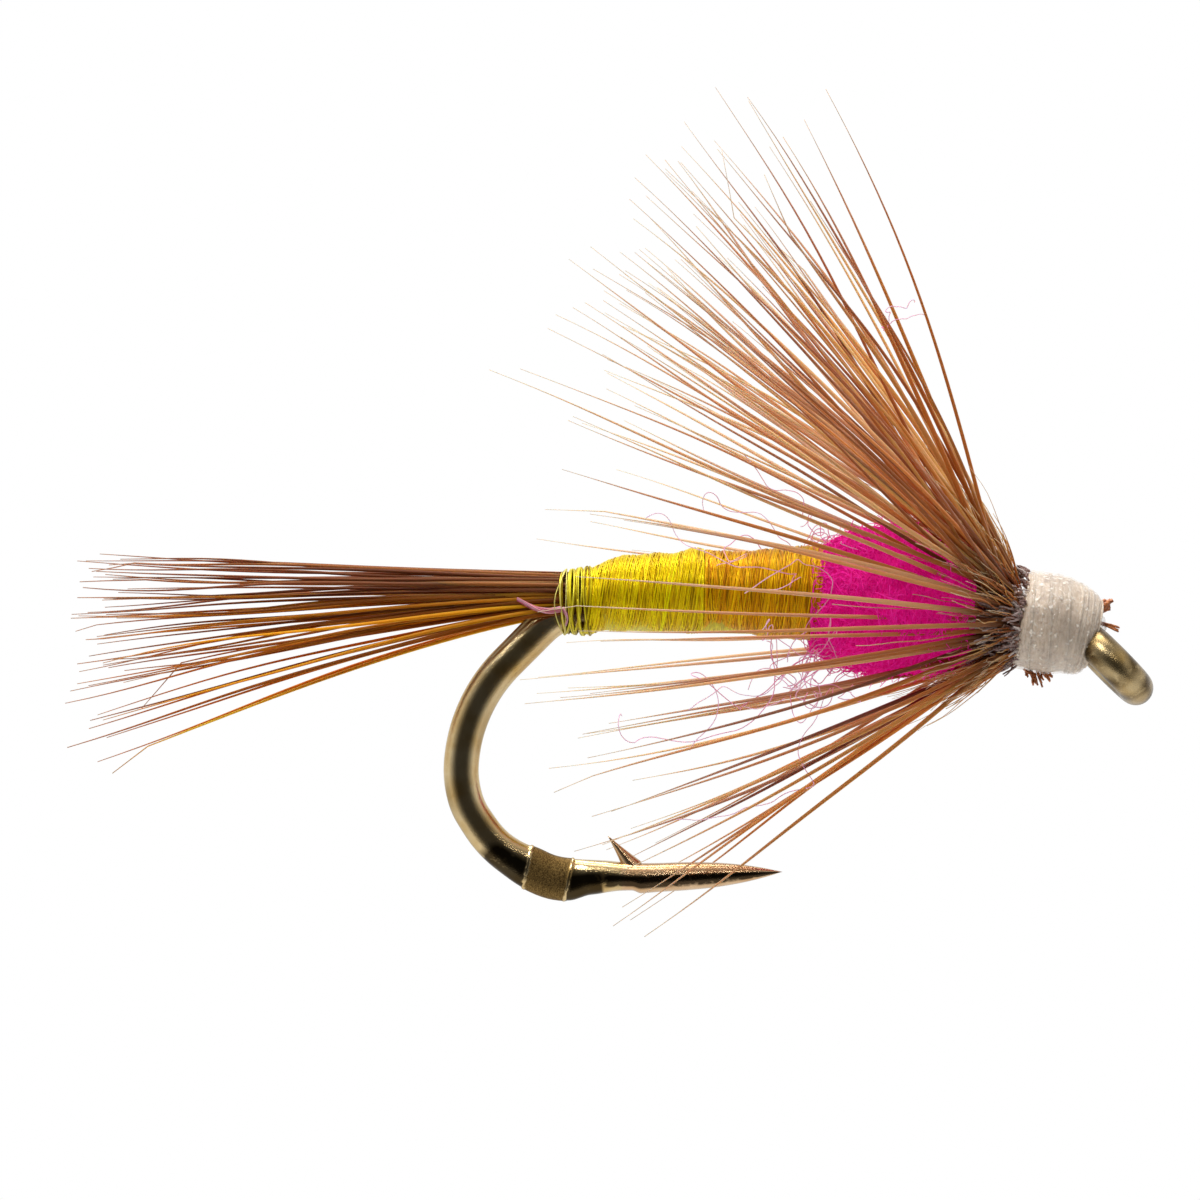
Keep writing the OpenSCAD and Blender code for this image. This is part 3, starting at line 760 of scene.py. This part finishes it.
def fur_layer(name, rng, count, r):
    """Short fibres that lie round the ball at all slants, their tips standing off a little."""
    steps = 7
    s = run(steps)
    length = rng.uniform(0.25, 0.95, (count, 1))
    start = rng.uniform(-0.02, 1.0, (count, 1))
    around = rng.uniform(0, 2 * np.pi, (count, 1))
    comb = rng.normal(0, 0.6, (count, 1))
    lift = rng.uniform(-0.10, 0.02, (count, 1)) + s ** 1.5 * rng.gamma(1.3, 0.05, (count, 1))
    t = start + length * s * np.sin(comb) / THORAX_LONG + 0.02 * wander(rng, count, steps)
    angle = around + length * s * np.cos(comb) * rng.choice([-1, 1], (count, 1)) / THORAX_R
    path = thorax_surface(np.clip(t, -0.05, 1.0), angle, lift)
    path += 0.025 * shake(rng, count, steps, 4)
    tones = ("f010a4", "e60c96", "ff1eae", "d80886", "ff30b6")
    paint = fur_colours(rng, count, steps, tones, "ff58be", 0.25)
    return fibre_piece(name, path, np.full((count, steps), r) * (1 - 0.4 * s), paint, 3)


def curl(rng, start, drift, count, steps, step, bend, pull):
    """Fibres that wind about from start: each turns smoothly and is drawn back along drift."""
    path, spin = [start], np.zeros((count, 3))
    way = unit(drift + rng.normal(0, 0.5, (count, 3)))
    for _ in range(steps - 1):
        sharp = np.where(rng.random((count, 1)) < 0.03, 5.0, 1.0)
        spin = 0.82 * spin + rng.normal(0, bend, (count, 3)) * sharp
        way = unit(way + np.cross(spin, way) + pull * drift)
        path.append(path[-1] + step * way)
    return np.stack(path, 1)


def make_loose_fibres():
    """Long pale strays of dubbing, most of them hanging under the body."""
    rng = np.random.default_rng(320)
    stray = fibre_material("pale_pink_fibre", 0.05, 0.5, 30, glow=0.3)
    steps, sets = 70, []
    for count, (t0, t1), (a0, a1), drift, step, bend in STRAYS:
        t = rng.uniform(t0, t1, (count, 1))
        angle = np.radians(rng.uniform(a0, a1, (count, 1)))
        start = thorax_surface(t, angle, -0.05)[:, 0]
        size = rng.uniform(0.3, 1.15, (count, 1))
        sets.append(curl(rng, start, np.array(drift), count, steps, step * size, bend, 0.07))
    # two have drifted up among the hackle
    sets.append(curl(rng, DRIFTED, np.array([1.0, 0, 0.45]), 2, steps, 0.02, 0.12, 0.12))
    path = np.concatenate(sets)
    count = len(path)
    paint = fur_colours(rng, count, steps, ("ee5cac", "f07cb8", "e6489c", "f490c4"), "f8c4e0", 0.85)
    piece = fibre_piece("dubbing_strays", path, np.full((count, steps), 0.0095), paint, 4)
    install(piece, stray, "pink_fibre", "dubbing_fibres")
    make_twist(rng, stray)


def make_twist(rng, stray):
    """A twist of fur caught where the tail is tied in."""
    count, steps = 9, 40
    t = np.linspace(0, len(TWIST_ROUTE) - 1, steps)
    line = np.stack([np.interp(t, np.arange(len(TWIST_ROUTE)), axis) for axis in TWIST_ROUTE.T], -1)
    for _ in range(3):
        line[1:-1] = (line[:-2] + line[1:-1] + line[2:]) / 3
    phase = full_turn(count)[:, None] + 5 * run(steps)
    radius = 0.034 * (0.4 + np.sin(np.pi * np.linspace(0.08, 0.95, steps)))[None]
    radius = (radius * rng.uniform(0.5, 1.3, (count, 1)))[..., None]
    twist = line[None] + radius * (np.cos(phase)[..., None] * Y + np.sin(phase)[..., None] * Z)
    paint = fur_colours(rng, count, steps, ("c4526c", "d87c8c", "a84458", "e49caa"), "e8b4bc", 0.3)
    piece = fibre_piece("dubbing_twist_at_tail", twist, np.full((count, steps), 0.014), paint, 4)
    install(piece, stray, "pink_fibre")


# ------ hackle
HACKLE = {  # node: barbs, angles round the shank, rake range in degrees, length, tones
    "hackle_barbs_crown": (98, (-55, 55), (22, 62), 11.2,
                           ("c67a30", "b66c26", "d69c54", "a45e22", "985628", "e2b074")),
    "hackle_barbs_near": (10, (55, 125), (7, 26), 10.2,
                          ("cc9058", "bc7c44", "ac6a34", "dca874")),
    # the far barbs' pale tones are painted haze, the paleness that out-of-focus barbs take from the bright
    # backdrop
    "hackle_barbs_far": (12, (235, 305), (7, 30), 10.2,
                         ("e0b88c", "d4a474", "c8906a", "e4c4a0")),
    "hackle_barbs_beard": (22, (125, 235), (7, 41), 9.7,
                           ("b06c2c", "c4843c", "94501c", "d49c50", "7c4020")),
}


def make_hackle():
    """Stiff barbs that stand off the wound quill and sweep back over the body."""
    shine = fibre_material("hackle_barbs", 0.14, 0.42, 50, Specular_IOR_Level=0.18)
    steps = 24
    t = run(steps)
    for seed, (node, (count, (a0, a1), (low, high), long, tones)) in enumerate(HACKLE.items()):
        rng = np.random.default_rng(400 + seed)
        order = (np.arange(count) + rng.uniform(0.1, 0.9, count)) / count
        angle = np.radians(mix(a0, a1, order))[:, None]
        steep = rng.permutation((np.arange(count) + rng.uniform(0, 1, count)) / count)[:, None]
        even = 2 * steep - 1
        tip_rake = np.radians(mix(low, high, 0.5 + 0.5 * np.sign(even) * np.abs(even) ** 1.45))
        rake = tip_rake + np.radians(rng.uniform(1, 18, (count, 1))) * (1 - t)
        rake = rake + np.radians(2.6) * wander(rng, count, steps, 2)
        lean = angle + np.radians(4) * wander(rng, count, steps, 2) * t
        reach = long * rng.uniform(0.84, 1.03, (count, 1)) * mix(0.92, 1.0, steep)
        x0 = rng.uniform(HACKLE_REAR, HACKLE_FRONT + 0.1, (count, 1))
        way = swept(rake, lean)
        root = round_axis(x0, QUILL_R - 0.02, angle)
        path = root + reach[..., None] / (steps - 1) * np.concatenate(
            [np.zeros((count, 1, 3)), np.cumsum(way[:, :-1], axis=1)], 1)
        path = kink(rng, path, 0.06, 0.3)
        paint = tinted(rng, tones, count, steps, "6e4426", "b0a298", 0.15)
        # painted haze: barbs on the far side, and the less steep ones, are paled from near the root towards
        # the bright backdrop's light, as out-of-focus barbs look
        painted_haze = 0.4 * ramp(0.15, 0.9, -np.sin(angle)) + 0.35 * (1 - steep) ** 1.5
        paint = mix(paint, colour("e6c8a8"), (painted_haze * ramp(0.1, 0.5, t))[..., None])
        gilt = 0.6 * ramp(0.93, 1.0, steep) * (1 - ramp(0.6, 1, t))
        paint = mix(paint, colour("c88a3c"), gilt[..., None])
        radii = barb_radii(steps, count, 0.052, rng, 0.009)
        install(fibre_piece(node + "_fine", path, radii, paint, 7, 0.6, 1.2), shine, "hackle_barb", node)


def make_quill():
    """The hackle's wound quill, under a crust of the broken bases of its barbs."""
    rng = np.random.default_rng(430)
    turns, steps = 4, 360
    t = run(steps)
    angle = 2 * np.pi * turns * t
    r = QUILL_R - 0.075 + 0.012 * wander(rng, 1, steps, 12)
    path = round_axis(mix(HACKLE_REAR, HACKLE_FRONT, t) + 0.02 * wander(rng, 1, steps, 15), r, angle)
    quill = tubes(path, 0.072 * (1 + 0.12 * wander(rng, 1, steps, 20)), 10)
    bits, bits_paint = quill_stubs(rng, 700)
    points, faces = joined([quill, bits])
    paint = np.concatenate([np.broadcast_to(colour("7a5a50"), (len(quill[0]), 3)), bits_paint])
    m = Shader("wound_quill", Roughness=0.4, Coat_Weight=0.5, Coat_Roughness=0.15)
    m.link(m.blend(m.band(m.noise(26), 0.52, 0.75), m.paint(), colour("cfc0b8")), "Base Color")
    m.bump(m.noise(40, detail=6), 0.015)
    piece = new_piece("hackle_quill_wound", points, faces, paint)
    install(piece, m.material, "hackle_quill", "hackle_quill")


def quill_stubs(rng, count):
    """The broken bases of barbs all round the quill, and a colour for each of their points."""
    steps, sides = 6, 6
    angle = rng.uniform(0, 2 * np.pi, (count, 1))
    s = run(steps)
    x = rng.uniform(HACKLE_REAR, HEAD_REAR + 0.04, (count, 1))
    rake = np.radians(rng.uniform(18, 68, (count, 1)) - 14 * s)
    length = rng.uniform(0.12, 0.5, (count, 1))
    lift = mix(QUILL_R - 0.08, QUILL_R + 0.06, rng.random((count, 1)))
    # a fifth of them crowd up against the head's slanting rear edge
    edge = rng.random((count, 1)) < 0.22
    slant = 0.16 * np.cos(angle)
    x = np.where(edge, HEAD_REAR + slant + rng.uniform(-0.12, 0.04, (count, 1)), x)
    lift = np.where(edge, 0.9 + 0.3 * slant + rng.uniform(-0.05, 0.04, (count, 1)), lift)
    length = np.where(edge, 0.5 * length, length)
    stubs = round_axis(x - length * s * np.cos(rake), lift + length * s * np.sin(rake),
                        angle + 0.25 * s * length * rng.normal(0, 1, (count, 1)))
    stubs += 0.02 * shake(rng, count, steps)
    radii = 0.034 * rng.uniform(0.4, 1.25, (count, 1)) * (1 - 0.55 * s)
    tones = ("74483c", "8c6c66", "7c4a2c", "a88e88", "643a2c", "ccbcb4", "9c7c74")
    return (tubes(stubs, radii, sides, 0.7),
            np.repeat(pick(rng, tones, count), steps * sides, axis=0))


def make_down():
    """Soft fluff and short barbs at the hackle's front, thickest at the top and the throat."""
    rng = np.random.default_rng(440)
    count, steps = 620, 12
    spread = rng.normal(0, 0.8, (count, 1))
    crest = rng.random((count, 1)) < 0.66
    angle = np.where(crest, spread, np.pi + spread)
    t = run(steps)
    rake = np.radians(mix(32, np.where(crest, 80, 56), rng.random((count, 1)))) - 0.2 * t
    length = rng.gamma(2.2, 0.42, (count, 1)) + 0.3 + 0.5 * ramp(1.1, 1.3, rake[:, :1])
    way = swept(rake, angle)
    root = round_axis(rng.uniform(HACKLE_REAR, HACKLE_FRONT + 0.12, (count, 1)), QUILL_R - 0.02, angle)
    path = root + length[..., None] * t[..., None] * way
    path += 0.05 * t[..., None] * shake(rng, count, steps)
    paint = tinted(rng, ("b4713c", "a8622e", "c08a54", "8e4e24"), count, steps, "7a4a2c", "d8b898")
    soft = fibre_material("hackle_down", 0.15, 0.5, 40, Specular_IOR_Level=0.3)
    radii = rng.uniform(0.009, 0.02, (count, 1)) * (1 - 0.6 * t)
    install(fibre_piece("hackle_down_fine", path, radii, paint, 4), soft, "hackle_down", "hackle_down")


# ------ head
HEAD_REAR, HEAD_FRONT, HEAD_MIDDLE, HEAD_TILT = -1.84, -0.4, -1.15, 7.0
HEAD_AXIS = SHANK_Z - 0.03
HEAD_SHAPE = np.array([(HEAD_REAR, 0.885), (-1.74, 0.92), (-1.5, 0.94), (-1.2, 0.945), (-0.95, 0.91),
                       (-0.75, 0.82), (-0.58, 0.70), (-0.46, 0.58), (HEAD_FRONT, 0.46)])  # x, radius
WRAP = 0.088  # the pitch of its thread


def head_points(x, angle, lift):
    """Points round the head. It leans down towards the eye, and in front it is fuller below
    and reaches further forward above."""
    front = ramp(-1.0, -0.42, x)
    r = np.interp(x, HEAD_SHAPE[:, 0], HEAD_SHAPE[:, 1]) + lift + 0.2 * front * (1 - np.cos(angle)) / 2
    x = x + 0.16 * front * (1 + np.cos(angle)) / 2 + 0.05 * ramp(1.3, 1.84, -x) * np.cos(angle)
    forward, height = x - HEAD_MIDDLE, r * np.cos(angle)
    c, s = math.cos(math.radians(HEAD_TILT)), math.sin(math.radians(HEAD_TILT))
    return np.stack([HEAD_MIDDLE + c * forward + s * height, -r * np.sin(angle),
                     HEAD_AXIS - s * forward + c * height], -1)


def head_skin(rear, front, steps, sides, lift):
    """A closed skin over the head; lift gives its height above it from x and angle."""
    x, angle = grid(rear, front, steps, sides)
    return skin(head_points(x, angle, lift(x, angle)))


def head_turns(seed, rear, front, pitch, lift, r, lean):
    """A thread wound in close turns, each leaning a little and lying on the last layer."""
    rng = np.random.default_rng(seed)
    turns = (front - rear) / pitch
    steps = int(turns * 44)
    t = run(steps)
    angle = 2 * np.pi * turns * t
    x = mix(rear, front, t) + lean * np.sin(angle + 0.5) + 0.012 * wander(rng, 1, steps, 30)
    path = head_points(x, angle, lift - r + 0.008 * wander(rng, 1, steps, 24))
    return tubes(path, np.full((1, steps), r) * (1 + 0.1 * wander(rng, 1, steps, 20)), 8, 0.8)


def thread_material():
    m = Shader("tying_thread", Roughness=0.5, Coat_Weight=1.0, Coat_Roughness=0.07,
               Subsurface_Weight=0.3, Subsurface_Radius=(1.0, 0.8, 0.6), Subsurface_Scale=0.25 * MM)
    tone = m.blend(m.band(m.noise(30, (1.4, 0.3, 0.3)), 0.3, 0.7), colour("c2a688"), colour("eed8be"))
    for scale, low, high, most, stain in ((1.6, 0.4, 0.66, 0.75, "a48a70"), (9, 0.54, 0.68, 0.6, "8c6c54")):
        tone = m.blend(m.band(m.noise(scale, detail=6), low, high, 0.0, most), tone, colour(stain))
    m.link(tone, "Base Color")
    m.bump(m.noise(60, (1.6, 0.4, 0.4), 6), 0.01)
    glaze = m.add("Bump", {"Height": m.noise(9, detail=6), "Strength": 1.0, "Distance": 0.09 * MM})
    m.link(glaze.outputs["Normal"], "Coat Normal")
    return m.material


def wraps(x, angle):
    """The ridges of close turns of thread, which wander a little from their pitch."""
    turn = (x + 0.012 * np.sin(2 * angle) + 0.01 * np.sin(5 * angle + 8 * x)) / WRAP - angle / (2 * np.pi)
    loose = 0.6 + 0.4 * np.sin(9.7 * x + np.sin(angle))
    lumps = 0.012 * np.sin(3 * angle + 6 * x) \
        + 0.007 * np.sin(11 * angle + 13 * x) * np.sin(17 * x - 4 * angle)
    return 0.009 * loose * np.abs(np.cos(np.pi * turn)) + lumps


def make_head():
    thread = thread_material()
    core = head_skin(HEAD_REAR, HEAD_FRONT, 300, 180, wraps)
    cross = head_turns(501, HEAD_REAR + 0.15, HEAD_FRONT - 0.3, 0.36, 0.028, 0.034, -0.06)
    install(new_piece("head_thread_wound", *joined([core, cross])), thread, "tying_thread", "head_thread")
    locking = head_turns(502, HEAD_FRONT - 0.42, HEAD_FRONT - 0.04, 0.085, 0.03, 0.042, 0.04)
    install(new_piece("whip_finish_turns", *locking), thread, "tying_thread", "whip_finish")
    make_varnish()


def make_varnish():
    """A thin uneven coat of clear varnish, which has pooled where the head meets the eye."""
    rng = np.random.default_rng(510)
    phase, drift = rng.uniform(0, 6, 12), rng.normal(0, 8, 12)

    def coat(x, angle):
        t = (x - HEAD_REAR) / (HEAD_FRONT - HEAD_REAR)
        runs = sum(np.sin(k * angle + phase[k] + drift[k] * t) for k in range(2, 11)) / 9
        closed = ramp(0, 0.05, t) * (1 - ramp(0.93, 1, t))
        return mix(-0.02, 0.04 + 0.022 * runs + 0.8 * wraps(x, angle), closed)

    shell = head_skin(HEAD_REAR + 0.02, HEAD_FRONT - 0.01, 150, 150, coat)
    v, u = np.linspace(0.02, 0.98, 20)[:, None] * np.pi, full_turn(30)[None]
    lump = 1 + 0.08 * np.sin(3 * u + 4 * v) + 0.06 * np.sin(5 * u - 3 * v)
    pool = np.stack([-0.34 + 0.20 * lump * np.cos(v) + 0 * u, 0.36 * lump * np.sin(v) * np.sin(u),
                     0.72 + 0.26 * lump * np.sin(v) * np.cos(u)], -1)
    m = Shader("head_varnish", Base_Color=(0.97, 0.88, 0.76), Roughness=0.08, Specular_IOR_Level=0.9)
    m.link(m.band(m.noise(10, detail=6), 0.59, 0.69, 0.24, 0.9), "Alpha")
    m.link(m.band(m.noise(18), 0.3, 0.7, 0.04, 0.25), "Roughness")
    m.bump(m.noise(11, detail=6), 0.07)
    piece = new_piece("head_varnish_coat", *joined([shell, skin(pool)]))
    install(piece, m.material, "head_varnish", "head_varnish")


def make_clipped_ends():
    """What the scissors left: the quill's tip, a tuft under the head and the thread's end."""
    rng = np.random.default_rng(520)
    horn = Shader("clipped_quill", Roughness=0.4, Coat_Weight=0.3, Coat_Roughness=0.2)
    horn.mottle(horn.noise(14), 0.35, 0.65, "8a4316", "e08a4a")
    horn.bump(horn.noise(50), 0.01)
    s = np.linspace(0, 1, 8)[None, :, None]

    def tuft(count, start, end, scatter, r, flare):
        a = np.array(start) + rng.normal(0, scatter, (count, 1, 3)) * 0.6
        b = np.array(end) + rng.normal(0, scatter, (count, 1, 3)) * flare
        path = mix(a, b, s) + 0.01 * shake(rng, count, 8)
        return tubes(path, np.full((count, 8), r) * (1 - 0.25 * s[..., 0]), 7, 0.8)

    low, high = corners("clipped_quill_tip")
    z = (low[2] + high[2]) / 2
    tip = tuft(16, (low[0] - 0.08, 0, z - 0.17), (high[0] - 0.07, 0, z + 0.04), 0.05, 0.052, 1.1)
    install(new_piece("clipped_quill_end", *tip), horn.material, "clipped_quill", "clipped_quill_tip")
    low, high = corners("clipped_beard_stub")
    x = (low[0] + high[0]) / 2
    beard = joined([tuft(6, (x - 0.2 + 0.1 * i, 0, high[2] + 0.03),
                         (x - 0.16 + 0.13 * i, 0, mix(high[2], low[2] + 0.06, long)), 0.06, 0.026, 0.8)
                    for i, long in enumerate((0.35, 0.8, 1.0, 0.55))])
    install(new_piece("clipped_beard_end", *beard), horn.material, "clipped_quill", "clipped_beard_stub")
    low, high = corners("clipped_thread_end")
    y = (low[1] + high[1]) / 2
    end = tuft(5, (low[0], y, high[2] - 0.04), (high[0] - 0.08, y, low[2] + 0.02), 0.016, 0.024, 1.4)
    install(new_piece("clipped_thread_tail", *end), horn.material, "tying_thread", "clipped_thread_end")


# ------ inner CAD pieces
def dress_inner_nodes():
    """The layers under the surface keep their CAD shape and take wound-thread finishes."""
    def wound(name, dark, light, scale):
        m = Shader(name, Roughness=0.6, Sheen_Weight=0.2)
        m.mottle(m.noise(scale, (1, 0.15, 0.15)), 0.3, 0.7, dark, light)
        m.bump(m.noise(scale, (1, 0.15, 0.15)), 0.02)
        return m.material

    cream = wound("inner_thread", "b3a79b", "efe7dc", 14)
    looks = {
        "thread_base": cream, "tail_binding": cream, "hackle_bed": cream,
        "floss_underlayer": wound("inner_floss", "b9a400", "f2e21a", 30),
        "thorax_core": wound("inner_dubbing", "9c005c", "e0108e", 8),
        "quill_butts": wound("quill_butts", "5a3a30", "a07a60", 12)}
    for node, material in looks.items():
        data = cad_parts[node].data
        data.materials.clear()
        data.materials.append(material)


make_camera()
make_world()
make_floor()
area_light("key", (-70, -110, 120), 40, 0.14)
area_light("top", (-10, 10, 160), 90, 0.24)
area_light("glint", (20, -140, 80), 14, 0.012)
make_hook()
make_tail()
make_floss()
make_tie_in()
make_thorax()
make_loose_fibres()
make_hackle()
make_quill()
make_down()
make_head()
make_clipped_ends()
dress_inner_nodes()
bpy.context.scene.view_settings.view_transform = "Standard"
